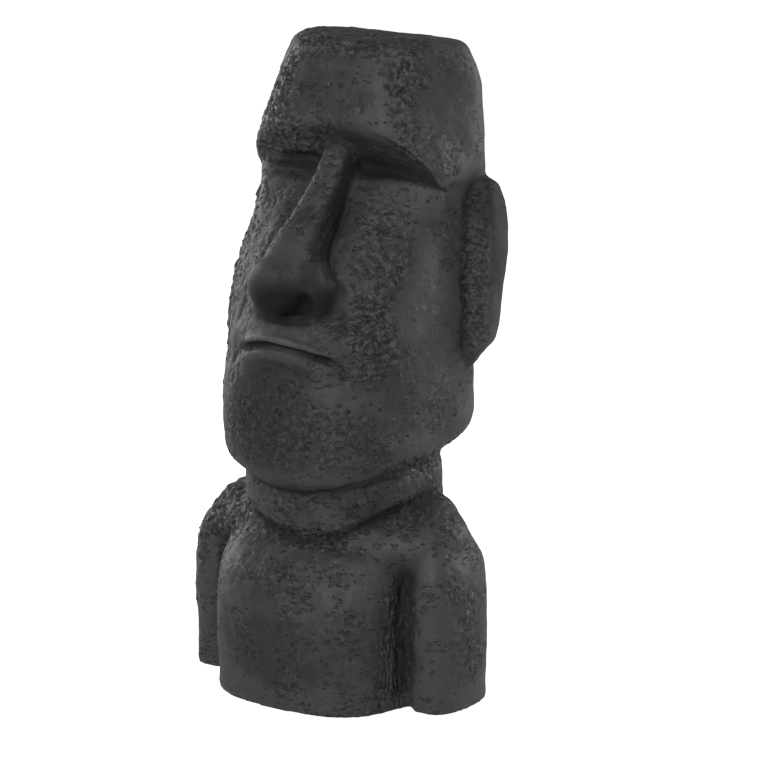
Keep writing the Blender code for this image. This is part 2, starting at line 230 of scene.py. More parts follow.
# Faint bloom, violet on the sides and the chest, brown under the jaw and on the arms, both paler
# than the body; on the near ear the paler violet is also painted light
COOL_PLACES = (
    ((88, 16, 480), (18, 60, 60), 1.0),
    # Painted light: the paler violet brightens the near ear's front
    ((112, 66, 345), (18, 34, 84), 1.0),
    ((45, -40, 122), (45, 40, 26), 1.0),
    ((0, 30, 535), (90, 60, 12), 0.7),
    ((0, -80, 350), (26, 24, 26), 0.5),
    ((-114, 74, 345), (12, 30, 80), 1.0),
)
WARM_PLACES = (
    ((20, -50, 186), (70, 40, 12), 1.0),
    *both_sides((120, 20, 60), (10, 60, 60), 0.8),
)
# Places of long chisel strokes: those on the nose's sides, then all
NOSE_STROKES = both_sides((12, -36, 392), (6, 30, 34), 0.6)
CHISEL_PLACES = (
    *NOSE_STROKES,
    ((86, -26, 46), (11, 24, 62), 1.0),
    ((85, -30, 14), (22, 30, 24), 0.7),
    ((-85, -26, 40), (12, 26, 60), 0.8),
    ((60, 8, 450), (34, 20, 10), 0.7),
    ((60, -10, 166), (40, 40, 10), 0.3),
)

# Way that the strokes run: sideways for each millimetre down, on the face, brow and nose.
# The heights are those where the brow's way and the body's start, and where each is whole.
FACE_SLANT, BROW_SLANT, NOSE_SLANT = 0.5, 1.3, 0.15
BROW_FOOT = (425, 445)
BODY_TOP = (178, 150)
ARM_GROOVE, FAN_WIDTH, FAN = 85, 40, (60, 0)

# The back is worked more plainly: how much less, and the depth where that starts and is whole
BACK_CALM = 0.65
BACK = (50, 85)

# What work a place gets: from the places of rougher work, and from patches all over
ROUGH_WORK, PATCH_WORK = 0.7, 0.3
PATCH_SIZE = 28 * MM

# How marks grow with the work on a place: added by full work, then left on calm stone
SCOOP_DEPTH = (0.75, 0.25)
CHIP_DEPTH = (0.95, 0.05)
PECK_SHARE = (0.9, 0.05)
PECK_DEPTH = (0.6, 0.4)
PIT_SHARE = (0.5, 0.2)

# How far pecks and strokes swing off their way, radians
PECK_SPREAD, STROKE_SPREAD = 0.5, 0.22

# First of the seeds that place each kind of mark, on top of the seed in the settings
PECK_SEED, STROKE_SEED, PIT_SEED = 11.0, 23.0, 41.0

# How dark the painted shade is on the visor's lip and under it, beside the nose, in hollows and
# cuts
LIP_SHADE, VISOR_SHADE, NOSE_SHADE, HOLLOW_SHADE, CUT_SHADE = 0.12, 0.8, 0.62, 0.7, 0.9
# Depth of a cut that gets all the painted shade it can
FULL_SHADE_DEPTH = 3

# Rounds of smoothing that show the broad form and the sharp edges, and how far a place then
# stands out: where the change of tone starts, and where it is full. Broad swellings get painted
# light, broad hollows painted shade, sharp edges rubbed wear and painted highlight
FORM_ROUNDS, EDGE_ROUNDS = 60, 3
LIT_SWELL = (0.6, 2.6)
DARK_HOLLOW = (-0.6, -3.0)
WORN_AND_LIT_EDGE = (0.08, 0.35)


# ---------------------------------------------------------------- settings


def length(name, default, description):
    return bpy.props.FloatProperty(
        name=name, description=description, default=default, min=0.0, unit="LENGTH",
        precision=5,
    )


def number(name, default, description):
    return bpy.props.FloatProperty(name=name, description=description, default=default)


def colour(name, default, description):
    return bpy.props.FloatVectorProperty(
        name=name, description=description, default=default, size=4, min=0.0, max=1.0,
        subtype="COLOR",
    )


def angle(name, default, description):
    return bpy.props.FloatProperty(
        name=name, description=description, default=math.radians(default), subtype="ANGLE"
    )


class MoaiRelief(bpy.types.PropertyGroup):
    """Sizes of the hewn surface."""

    fineness: length("Fineness", 1.1 * MM, "Edge length of the mesh that is carved")
    triangles: bpy.props.IntProperty(
        name="Triangles", description="Triangles of the finished statue", default=196000
    )
    lump_size: length("Lump Size", 30 * MM, "Width of the slow swellings")
    lump_depth: length("Lump Depth", 0.9 * MM, "Depth of the slow swellings")
    cut_size: length("Cut Size", 7 * MM, "Width of the scooped tool cuts")
    cut_depth: length("Cut Depth", 1.4 * MM, "Depth of the scooped tool cuts")
    chip_size: length("Chip Size", 6.5 * MM, "Width of the chipped flats")
    chip_depth: length("Chip Depth", 2.4 * MM, "How steeply the chipped flats are tilted")
    peck_gap: length("Peck Gap", 4.2 * MM, "Least distance between pecks")
    peck_length: length("Peck Length", 4.5 * MM, "Length of a peck")
    peck_width: length("Peck Width", 1.7 * MM, "Half width of a peck")
    peck_depth: length("Peck Depth", 1.0 * MM, "Depth of a peck")
    stroke_gap: length("Stroke Gap", 5.0 * MM, "Least distance between chisel strokes")
    stroke_length: length("Stroke Length", 11 * MM, "Length of a chisel stroke")
    stroke_width: length("Stroke Width", 1.9 * MM, "Half width of a chisel stroke")
    stroke_depth: length("Stroke Depth", 1.3 * MM, "Depth of a chisel stroke")
    pit_gap: length("Pit Gap", 8 * MM, "Least distance between pits")
    pit_radius: length("Pit Radius", 2.1 * MM, "Radius of the widest pits")
    pit_depth: length("Pit Depth", 1.5 * MM, "Depth of the deepest pits")
    seed: bpy.props.IntProperty(name="Seed", description="Places strokes and pits", default=7)


class MoaiFinish(bpy.types.PropertyGroup):
    """Colours and roughness of the cast stone."""

    # Dark stone: the mottled spots, and all painted shade in hollows, pits and under the brow
    dark: colour("Dark Stone", (0.008, 0.008, 0.008, 1), "Hollows and pits")
    body: colour("Body Stone", (0.040, 0.040, 0.040, 1), "The most of the surface")
    # Paler stone for rubbed wear and for painted light, highlights and glints
    worn: colour("Worn Stone", (0.094, 0.093, 0.095, 1), "Rubbed edges and high places")
    cool: colour("Cool Bloom", (0.053, 0.048, 0.057, 1), "Faint violet bloom")
    warm: colour("Warm Bloom", (0.052, 0.047, 0.041, 1), "Faint brown bloom")
    grain_size: length("Grain Size", 1.4 * MM, "Width of the fine grain")
    grain_depth: length("Grain Depth", 0.8 * MM, "Depth of the fine grain")
    pit_size: length("Fine Pit Size", 7 * MM, "Spacing of the fine pits")
    pit_depth: length("Fine Pit Depth", 1.4 * MM, "Depth of the fine pits")
    chip_size: length("Fine Chip Size", 3.2 * MM, "Width of the fine chipped flats")
    chip_depth: length("Fine Chip Depth", 2.0 * MM, "How steeply the fine flats are tilted")
    lip_height: length("Pit Lip", 0.5 * MM, "Height of the rim round a fine pit")
    mottling: number("Mottling", 0.2, "How dark the mottled spots are")
    bloom: number("Bloom", 0.8, "Strength of the violet and brown blooms")
    # Painted glints on the chipped flats
    chip_wear: number("Chip Wear", 0.52, "How pale the highest chipped flats are")
    # Painted light on the broad swellings
    swell_wear: number("Swell Wear", 0.5, "How pale the broad swellings are")
    # Painted highlight on the rims of the fine pits
    lip_wear: number("Lip Wear", 0.2, "How pale the rims of the fine pits are")
    # Rubbed wear and painted highlight on sharp edges
    edge_wear: number("Edge Wear", 0.8, "How pale the rubbed edges are")
    # Painted shade in the pits and strokes
    pit_dark: number("Pit Dark", 0.32, "How dark the pits and strokes are")
    roughness: number("Roughness", 0.5, "Roughness of the bare surface")
    work_polish: number("Work Polish", 0.18, "How much less rough the worked stone is")
    # How much rougher the painted shade is
    wash_matt: number("Wash Matt", 0.3, "How much rougher the dark wash is")
    shine: number("Shine", 0.3, "Strength of the highlights")


class MoaiStage(bpy.types.PropertyGroup):
    """Camera, lights and floor."""

    azimuth: angle("Azimuth", 34.63, "Side the camera stands on, from the front")
    distance: length("Distance", 3.0, "Camera's distance over the ground")
    height: length("Height", 1.0653, "Camera's height")
    pitch: angle("Pitch", 15.126, "How far the camera looks down")
    yaw: angle("Yaw", 0.878, "How far the camera looks aside")
    lens: number("Lens", 178.87, "Focal length, millimetres")
    left: number("Left Light", 14.0, "Power of the light on the left, watts")
    fill: number("Fill Light", 30.5, "Power of the light beside the camera, watts")
    right: number("Right Light", 29.0, "Power of the light behind on the right, watts")
    ambient: number("Ambient", 0.2, "Strength of the light from all round")
    floor: colour("Floor", (0.75, 0.75, 0.75, 1), "Colour of the floor")
    glow: number("Floor Glow", 0.9, "How much the floor is lit from below")


# ---------------------------------------------------------------- mesh helpers


def step(low, high, x):
    """0 below low, 1 above high, smooth between."""
    t = np.clip((x - low) / (high - low), 0.0, 1.0)
    return t * t * (3 - 2 * t)


def bump(distance, half):
    """A smooth bump: 1 at no distance, about a third at the half width."""
    return np.exp(-((distance / half) ** 2))


def read(mesh, name="co"):
    """Positions in millimetres, or normals, as rows."""
    values = np.empty(len(mesh.vertices) * 3, np.float32)
    mesh.vertices.foreach_get(name, values)
    values = values.reshape(-1, 3).astype(float)
    return values / MM if name == "co" else values


def write(mesh, points):
    mesh.vertices.foreach_set("co", (points * MM).ravel().astype(np.float32))
    mesh.update()


def apply(obj, kind, **settings):
    """Adds a modifier with these settings and applies it."""
    modifier = obj.modifiers.new(kind.lower(), kind)
    for key, value in settings.items():
        setattr(modifier, key, value)
    bpy.context.view_layer.objects.active = obj
    bpy.ops.object.modifier_apply(modifier=modifier.name)


def store(mesh, name, values):
    """Keeps one number for each vertex under this name, or one vector."""
    kind, key = ("FLOAT", "value") if values.ndim == 1 else ("FLOAT_VECTOR", "vector")
    layer = mesh.attributes.new(name, kind, "POINT")
    layer.data.foreach_set(key, values.ravel().astype(np.float32))


def near(points, places):
    """How close each point is to the soft places: their strength inside, fading to 0 outside."""
    share = np.zeros(len(points))
    for centre, radii, strength in places:
        distance = np.linalg.norm((points - centre) / np.array(radii, float), axis=1)
        share = np.maximum(share, strength * step(1.5, 0.5, distance))
    return share


def smooth_path(points, gap=1.0):
    """Points every gap along a Catmull-Rom curve through these points."""
    p = np.array(points, float)
    p = np.vstack([2 * p[0] - p[1], p, 2 * p[-1] - p[-2]])
    out = []
    for a, b, c, d in zip(p, p[1:], p[2:], p[3:]):
        count = max(2, int(np.linalg.norm(c - b) / gap))
        for t in np.linspace(0, 1, count, endpoint=False):
            out.append(
                0.5 * (2 * b + (c - a) * t + (2 * a - 5 * b + 4 * c - d) * t * t
                       + (3 * b - a - 3 * c + d) * t**3)
            )
    return np.array(out + [p[-2]])


# ---------------------------------------------------------------- the statue


def neighbours(mesh):
    """The two ends of each edge."""
    edges = np.empty(len(mesh.edges) * 2, np.int32)
    mesh.edges.foreach_get("vertices", edges)
    return edges.reshape(-1, 2).T


def relax(points, ends, rounds, share=1.0):
    """Moves each point towards the middle of its neighbours, by its share."""
    a, b = ends
    size = len(points)
    count = np.bincount(a, minlength=size) + np.bincount(b, minlength=size)
    for _ in range(rounds):
        middle = np.empty_like(points)
        for k in range(3):
            middle[:, k] = np.bincount(a, points[b, k], size) + np.bincount(b, points[a, k], size)
        middle /= count[:, None]
        points = points + (middle - points) * np.reshape(share, (-1, 1))
    return points


def crest_gap(points):
    """How far each point lies below the brow's crest, as a share of the way to the socket."""
    x, z = np.abs(points[:, 0]), points[:, 2]
    crest = np.interp(x, *zip(*CREST))
    socket_line = np.interp(x, *zip(*SOCKET))
    return (crest - z) / np.maximum(crest - socket_line, LEAST_SOCKET)


def softness(points):
    """How freely each point may be smoothed: little at the near crest and at the foot."""
    x, y, z = points.T
    gap = crest_gap(points)
    crest = step(0.5, 0.15, np.abs(gap)) * step(40, 20, y) * step(6, 26, x)
    return (1 - CREST_HELD * crest) * step(*OFF_GROUND, z)


def fine_copy(node, fineness):
    """A merged copy of the solid, rebuilt with small even faces and its facets smoothed."""
    mesh = node.data.copy()
    bm = bmesh.new()
    bm.from_mesh(mesh)
    bmesh.ops.remove_doubles(bm, verts=bm.verts, dist=0.001 * MM)
    bm.to_mesh(mesh)
    bm.free()
    mesh.materials.clear()
    statue = bpy.data.objects.new("hewn_moai", mesh)
    bpy.context.scene.collection.objects.link(statue)
    apply(statue, "REMESH", mode="VOXEL", voxel_size=FIRST_COARSENESS * fineness)
    points, ends = read(statue.data), neighbours(statue.data)
    rounds, share = FORM_SMOOTHING
    points = relax(points, ends, rounds, share * softness(points))
    write(statue.data, relax(points, ends, MELT_ROUNDS, near(points, MELT_PLACES)))
    return statue


def carve_visor(points):
    """Cuts in under the brow, deepest over the socket, and gives the near crest a lip."""
    x, y, _ = points.T
    gap = crest_gap(points)
    front = step(*BROW_FRONT, y) * step(*BROW_ENDS, np.abs(x)) * step(*BROW_MIDDLE, np.abs(x))
    under = 0.3 * step(0, 0.12, gap) + 0.7 * np.clip(gap / 0.9, 0, 1) ** 1.5
    deep = VISOR_DEPTH * under * step(1.06, 0.94, gap) * np.where(x > 0, 1, FAR_VISOR)
    over = step(-0.4, -0.02, gap) * step(0.12, 0.0, gap) * (x > 0)
    points[:, 1] += front * (deep - CREST_LIP * over)


def nose_side(points):
    """How far each point is across the nose's side plane: 0 at the ridge, 1 at the fold."""
    x, _, z = points.T
    heights, ridge, fold = np.array(NOSE_SIDE, float).T
    inner, outer = np.interp(z, heights, ridge), np.interp(z, heights, fold)
    return (np.abs(x) - inner) / (outer - inner)


def carve_nose(points):
    """Steepens the nose's side planes, deepest at the folds beside them."""
    _, y, z = points.T
    along = nose_side(points)
    span = step(*NOSE_FOOT, z) * step(*NOSE_TOP, z) * step(*NOSE_FRONT, y)
    points[:, 1] += NOSE_HOLLOW * step(0, 0.8, along) * step(1.5, 1.0, along) * span


def carve_pushes(points):
    """Moves the surface softly, most at each push's centre."""
    for centre, radii, way, far, mirrored in PUSHES:
        for side in (1, -1) if mirrored else (1,):
            at = np.array(centre, float) * (side, 1, 1)
            toward = np.array(way, float) * (side, 1, 1)
            weight = np.exp(-(((points - at) / radii) ** 2).sum(axis=1))
            points += far * weight[:, None] * toward / np.linalg.norm(toward)


def cut_paths(mesh):
    """Each cut's line laid on the front: its points, half width and depth."""
    tree = BVHTree.FromPolygons(
        [tuple(p) for p in read(mesh)], [tuple(f.vertices) for f in mesh.polygons]
    )
    for line, half, depth, *shares in CUTS:
        for side, share in zip((1, -1), shares):
            if not share:
                continue
            hits = [
                tree.ray_cast(Vector((side * x, LOW[1] - 10, z)), Vector((0, 1, 0)))[0]
                for x, z in smooth_path(line)
            ]
            yield np.array([hit for hit in hits if hit is not None]), half, share * depth


def path_weight(points, path, half):
    """How close each point is to the line, fading at its ends."""
    low, high = path.min(axis=0) - 3 * half, path.max(axis=0) + 3 * half
    inside = np.nonzero(((points > low) & (points < high)).all(axis=1))[0]
    gaps = np.linalg.norm(points[inside, None] - path[None], axis=2)
    along = gaps.argmin(axis=1) / (len(path) - 1)
    weight = np.zeros(len(points))
    weight[inside] = bump(gaps.min(axis=1), half) * step(0, 0.2, along) * step(1, 0.8, along)
    return weight


def carve_cuts(mesh):
    """Cuts each line into the front, square to the surface."""
    points, normals = read(mesh), read(mesh, "normal")
    for path, half, depth in cut_paths(mesh):
        points -= normals * (depth * path_weight(points, path, half))[:, None]
    write(mesh, points)


def mark_work(mesh):
    """Stores how each place is worked, and which way its strokes run."""
    points = read(mesh)
    x, y, z = points.T
    calm = 1 - near(points, SMOOTH_PLACES)
    back = 1 - BACK_CALM * step(*BACK, y)
    store(mesh, "rough", near(points, ROUGH_PLACES) * calm * back)
    store(mesh, "keep", calm * back)
    store(mesh, "chisel", near(points, CHISEL_PLACES))
    store(mesh, "standing", step(*OFF_GROUND, z))
    side = np.sign(x)
    way = np.stack([FACE_SLANT * side, np.zeros(len(x)), -np.ones(len(x))], axis=1)
    # Low on the body the strokes fan out to both sides of the grooves beside the arms
    fan = np.clip((np.abs(x) - ARM_GROOVE) / FAN_WIDTH, -0.5, 0.5) * step(*FAN, z) * side
    on_nose = step(0.1, 0.6, near(points, NOSE_STROKES))
    for share, slant in (
        (step(*BODY_TOP, z), fan),
        (step(*BROW_FOOT, z), BROW_SLANT * side),
        (on_nose, NOSE_SLANT * side),
    ):
        way[:, 0] += share * (slant - way[:, 0])
    store(mesh, "grain", way)


# ---------------------------------------------------------------- node helpers


def add(tree, kind, inputs=None, **settings):
    """A node with these settings, its inputs linked to sockets or set to values."""
    node = tree.nodes.new(kind)
    for key, value in settings.items():
        setattr(node, key, value)
    for key, value in (inputs or {}).items():
        if isinstance(value, bpy.types.NodeSocket):
            tree.links.new(value, node.inputs[key])
        else:
            node.inputs[key].default_value = value
    return node


def maths(tree, operation, *values, clamp=False):
    node = add(tree, "ShaderNodeMath", dict(enumerate(values)), operation=operation)
    node.use_clamp = clamp
    return node.outputs[0]


def product(tree, *values):
    """These values multiplied together, each a number or a socket."""
    total = values[0]
    for value in values[1:]:
        total = maths(tree, "MULTIPLY", total, value)
    return total


def vectors(tree, operation, *values):
    node = add(tree, "ShaderNodeVectorMath", dict(enumerate(values)), operation=operation)
    one = operation in ("DOT_PRODUCT", "DISTANCE")
    return node.outputs["Value" if one else "Vector"]


def remap(tree, value, low, high, out_low=0.0, out_high=1.0):
    """Smooth step of a value between two limits, each a number or a socket."""
    given = dict(enumerate((value, low, high, out_low, out_high)))
    return add(tree, "ShaderNodeMapRange", given, interpolation_type="SMOOTHSTEP").outputs[0]


def mix(tree, share, first, second):
    """The first colour, turned to the second by the share."""
    given = {0: share, 6: first, 7: second}
    return add(tree, "ShaderNodeMix", given, data_type="RGBA").outputs[2]


def warped(tree, position, scale, far):
    """The position pushed about by soft noise, so that cells have uneven sides."""
    push = add(tree, "ShaderNodeTexNoise", {"Vector": position, "Scale": scale, "Detail": 1.0})
    push = vectors(tree, "MULTIPLY", push.outputs["Color"], (far, far, far))
    return vectors(tree, "ADD", position, push)


def flats(tree, position, size):
    """Small flats side by side, each tilted its own way: their height and a random number."""
    place = warped(tree, position, 260.0, 3 * MM)
    scale = maths(tree, "DIVIDE", 1.0, size)
    cell = add(tree, "ShaderNodeTexVoronoi", {"Vector": place, "Scale": scale})
    away = vectors(tree, "SUBTRACT", place, cell.outputs["Position"])
    tilt = vectors(tree, "SUBTRACT", cell.outputs["Color"], (0.5, 0.5, 0.5))
    height = maths(tree, "MULTIPLY", vectors(tree, "DOT_PRODUCT", away, tilt), scale)
    chance = add(tree, "ShaderNodeSeparateXYZ", {0: cell.outputs["Color"]}).outputs[0]
    return maths(tree, "MULTIPLY", height, 2.0), chance


# ---------------------------------------------------------------- hewn surface

# The sizes that the node tree takes: input's name, then the setting
RELIEF_INPUTS = {
    key.replace("_", " ").title(): key
    for key in MoaiRelief.__annotations__
    if key not in ("fineness", "triangles", "seed")
}
# Most points on a square metre before they are thinned
DENSEST = 90000.0


def named(tree, name, kind="FLOAT"):
    node = add(tree, "GeometryNodeInputNamedAttribute", {"Name": name}, data_type=kind)
    return node.outputs["Attribute"]


def in_use(sockets, name=None):
    """The socket in use, of a node that has one for each kind of value."""
    return next(s for s in sockets if s.enabled and name in (None, s.name))


def noise(tree, position, size, detail):
    """Soft noise from about -1 to 1, with features of this size."""
    node = add(
        tree, "ShaderNodeTexNoise",
        {"Vector": position, "Scale": maths(tree, "DIVIDE", 1.0, size), "Detail": detail},
    )
    return maths(tree, "MULTIPLY_ADD", node.outputs[0], 4.0, -2.0)


def scatter(tree, geometry, gap, share, seed):
    """Points on the faces, no closer than the gap, thinned by the share."""
    return add(
        tree, "GeometryNodeDistributePointsOnFaces",
        {"Mesh": geometry, "Distance Min": gap, "Density Max": DENSEST,
         "Density Factor": share, "Seed": seed},
        distribute_method="POISSON",
    )


def random_number(tree, low, high, seed):
    node = add(
        tree, "FunctionNodeRandomValue", {"Min": low, "Max": high, "Seed": seed},
        data_type="FLOAT",
    )
    return in_use(node.outputs)


def strokes(tree, geometry, sizes, share, spread, seed):
    """How deep in a stroke each point is: short lines laid on the surface along the grain."""
    gap, reach, width = sizes
    points = scatter(tree, geometry, gap, share, seed(0))
    turned = add(
        tree, "FunctionNodeAlignRotationToVector",
        {"Rotation": points.outputs["Rotation"], "Vector": named(tree, "grain", "FLOAT_VECTOR")},
        axis="X", pivot_axis="Z",
    )
    swing = add(
        tree, "FunctionNodeAxisAngleToRotation",
        {"Axis": (0, 0, 1), "Angle": random_number(tree, -spread, spread, seed(1))},
    )
    rotation = add(
        tree, "FunctionNodeRotateRotation",
        {"Rotation": turned.outputs[0], "Rotate By": swing.outputs[0]},
        rotation_space="LOCAL",
    )
    ends = [
        add(tree, "ShaderNodeCombineXYZ", {"X": maths(tree, "MULTIPLY", reach, sign)})
        for sign in (-0.5, 0.5)
    ]
    line = add(
        tree, "GeometryNodeMeshLine",
        {"Count": 2, "Start Location": ends[0].outputs[0], "Offset": ends[1].outputs[0]},
        mode="END_POINTS",
    )
    instances = add(
        tree, "GeometryNodeInstanceOnPoints",
        {"Points": points.outputs["Points"], "Instance": line.outputs[0],
         "Rotation": rotation.outputs[0], "Scale": random_number(tree, 0.3, 1.2, seed(2))},
    )
    lines = add(tree, "GeometryNodeRealizeInstances", {"Geometry": instances.outputs[0]})
    near_line = add(
        tree, "GeometryNodeProximity", {"Target": lines.outputs[0]}, target_element="EDGES"
    )
    return remap(tree, near_line.outputs["Distance"], 0.0, width, 1.0, 0.0)


def pits(tree, given, geometry, share, seed):
    """How deep in a pit each point is: round dips of unlike widths."""
    points = scatter(tree, geometry, given["Pit Gap"], share, seed(0))
    position = add(tree, "GeometryNodeInputPosition").outputs[0]
    nearest = add(
        tree, "GeometryNodeSampleNearest", {"Geometry": points.outputs["Points"]},
        domain="POINT",
    )

    def at_nearest(value, kind):
        node = add(tree, "GeometryNodeSampleIndex", data_type=kind, domain="POINT")
        tree.links.new(points.outputs["Points"], node.inputs["Geometry"])
        tree.links.new(value, in_use(node.inputs, "Value"))
        tree.links.new(nearest.outputs[0], node.inputs["Index"])
        return in_use(node.outputs)

    size = at_nearest(random_number(tree, 0.4, 1.0, seed(1)), "FLOAT")
    gap = vectors(tree, "DISTANCE", position, at_nearest(position, "FLOAT_VECTOR"))
    radius = maths(tree, "MULTIPLY", given["Pit Radius"], size)
    dip = remap(tree, gap, maths(tree, "MULTIPLY", radius, 0.2), radius, 1.0, 0.0)
    return maths(tree, "MULTIPLY", dip, size)


def scoops(tree, position, size):
    """Shallow bowls side by side, deepest in their middles, as an adze leaves them."""
    cell = add(
        tree, "ShaderNodeTexVoronoi",
        {"Vector": warped(tree, position, 60.0, 8 * MM),
         "Scale": maths(tree, "DIVIDE", 1.0, size), "Smoothness": 0.15},
        feature="SMOOTH_F1",
    )
    return remap(tree, cell.outputs["Distance"], 0.1, 0.75, 1.0, 0.0)


def hewn_surface():
    """The node tree that cuts lumps, scoops, pecks, strokes and pits into a surface."""
    tree = bpy.data.node_groups.new("hewn_surface", "GeometryNodeTree")
    kinds = {"Geometry": "NodeSocketGeometry", **dict.fromkeys(RELIEF_INPUTS, "NodeSocketFloat"),
             "Seed": "NodeSocketInt", "Material": "NodeSocketMaterial"}
    for name, kind in kinds.items():
        tree.interface.new_socket(name, in_out="INPUT", socket_type=kind)
    tree.interface.new_socket("Geometry", in_out="OUTPUT", socket_type="NodeSocketGeometry")
    given = tree.nodes.new("NodeGroupInput").outputs
    mesh = given["Geometry"]
    position = add(tree, "GeometryNodeInputPosition").outputs[0]
    normal = add(tree, "GeometryNodeInputNormal").outputs[0]
    rough, keep, chisel, standing = (
        named(tree, name) for name in ("rough", "keep", "chisel", "standing")
    )
    times = partial(product, tree)

    def seeded(first):
        return lambda more: maths(tree, "ADD", given["Seed"], first + more)

    patches = remap(tree, noise(tree, position, PATCH_SIZE, 2.0), -0.2, 0.7)
    work = maths(tree, "MULTIPLY_ADD", rough, ROUGH_WORK, times(patches, PATCH_WORK))

    def worked(added, calm):
        return maths(tree, "MULTIPLY_ADD", work, added, calm)

    lumps = times(noise(tree, position, given["Lump Size"], 1.0), given["Lump Depth"])
    scooped = times(scoops(tree, position, given["Cut Size"]), given["Cut Depth"],
                    worked(*SCOOP_DEPTH))
    chipped = times(flats(tree, position, given["Chip Size"])[0], given["Chip Depth"],
                    worked(*CHIP_DEPTH))
    peck_sizes = (given["Peck Gap"], given["Peck Length"], given["Peck Width"])
    pecked = times(
        strokes(tree, mesh, peck_sizes, worked(*PECK_SHARE), PECK_SPREAD, seeded(PECK_SEED)),
        given["Peck Depth"], worked(*PECK_DEPTH),
    )
    stroke_sizes = (given["Stroke Gap"], given["Stroke Length"], given["Stroke Width"])
    chiselled = times(
        strokes(tree, mesh, stroke_sizes, chisel, STROKE_SPREAD, seeded(STROKE_SEED)),
        given["Stroke Depth"], chisel,
    )
    pitted = times(
        pits(tree, given, mesh, worked(*PIT_SHARE), seeded(PIT_SEED)), given["Pit Depth"],
    )
    marks = maths(tree, "MAXIMUM", maths(tree, "MAXIMUM", pecked, pitted), chiselled)
    inward = times(maths(tree, "ADD", scooped, marks), keep)
    swell = maths(tree, "ADD", lumps, times(chipped, keep))
    total = times(maths(tree, "SUBTRACT", swell, inward), standing)
    offset = add(tree, "ShaderNodeVectorMath", {0: normal, "Scale": total}, operation="SCALE")
    for name, value in (("hollow", times(marks, keep)), ("work", times(work, keep))):
        stored = add(
            tree, "GeometryNodeStoreNamedAttribute", {"Geometry": mesh, "Name": name},
            data_type="FLOAT", domain="POINT",
        )
        tree.links.new(value, in_use(stored.inputs, "Value"))
        mesh = stored.outputs[0]
    moved = add(
        tree, "GeometryNodeSetPosition",
        {"Geometry": mesh, "Offset": offset.outputs["Vector"]},
    )
    real = add(tree, "GeometryNodeRealizeInstances", {"Geometry": moved.outputs[0]})
    painted = add(
        tree, "GeometryNodeSetMaterial",
        {"Geometry": real.outputs[0], "Material": given["Material"]},
    )
    out = tree.nodes.new("NodeGroupOutput")
    tree.links.new(painted.outputs[0], out.inputs[0])
    return tree


def cut_relief(statue, settings, material):
    """Runs the hewn surface over the statue and keeps the result as a plain mesh."""
    tree = hewn_surface()
    modifier = statue.modifiers.new("hewn", "NODES")
    modifier.node_group = tree
    keys = {item.name: item.identifier for item in tree.interface.items_tree}
    for name, key in RELIEF_INPUTS.items():
        modifier[keys[name]] = getattr(settings, key)
    modifier[keys["Seed"]] = settings.seed
    modifier[keys["Material"]] = material
    graph = bpy.context.evaluated_depsgraph_get()
    mesh = bpy.data.meshes.new_from_object(statue.evaluated_get(graph))
    statue.modifiers.remove(modifier)
    statue.data = mesh


def keep_in_box(mesh):
    """Holds the surface inside the solid's box and its foot flat on the ground."""
    points = np.clip(read(mesh), LOW, HIGH)
    points[points[:, 2] < GROUND_SLACK, 2] = 0
    write(mesh, points)


# ---------------------------------------------------------------- finish

# Layers of fine pits: how far each is turned, tilted and shifted
FINE_PITS = ((0.55, 0.3, 0.0), (-0.35, -0.2, 3.1))
PIT_STRETCH = (1.0, 1.0, 2.2)
MOTTLE_SIZE = 12 * MM
# Depth at which a pit or stroke starts to get painted shade, and at which it is darkest
DEEP_MARK = (0.3 * MM, 1.5 * MM)
# How the grain grows with the work: added by full work, then left on calm stone
GRAIN_DEPTH = (0.5, 0.4)


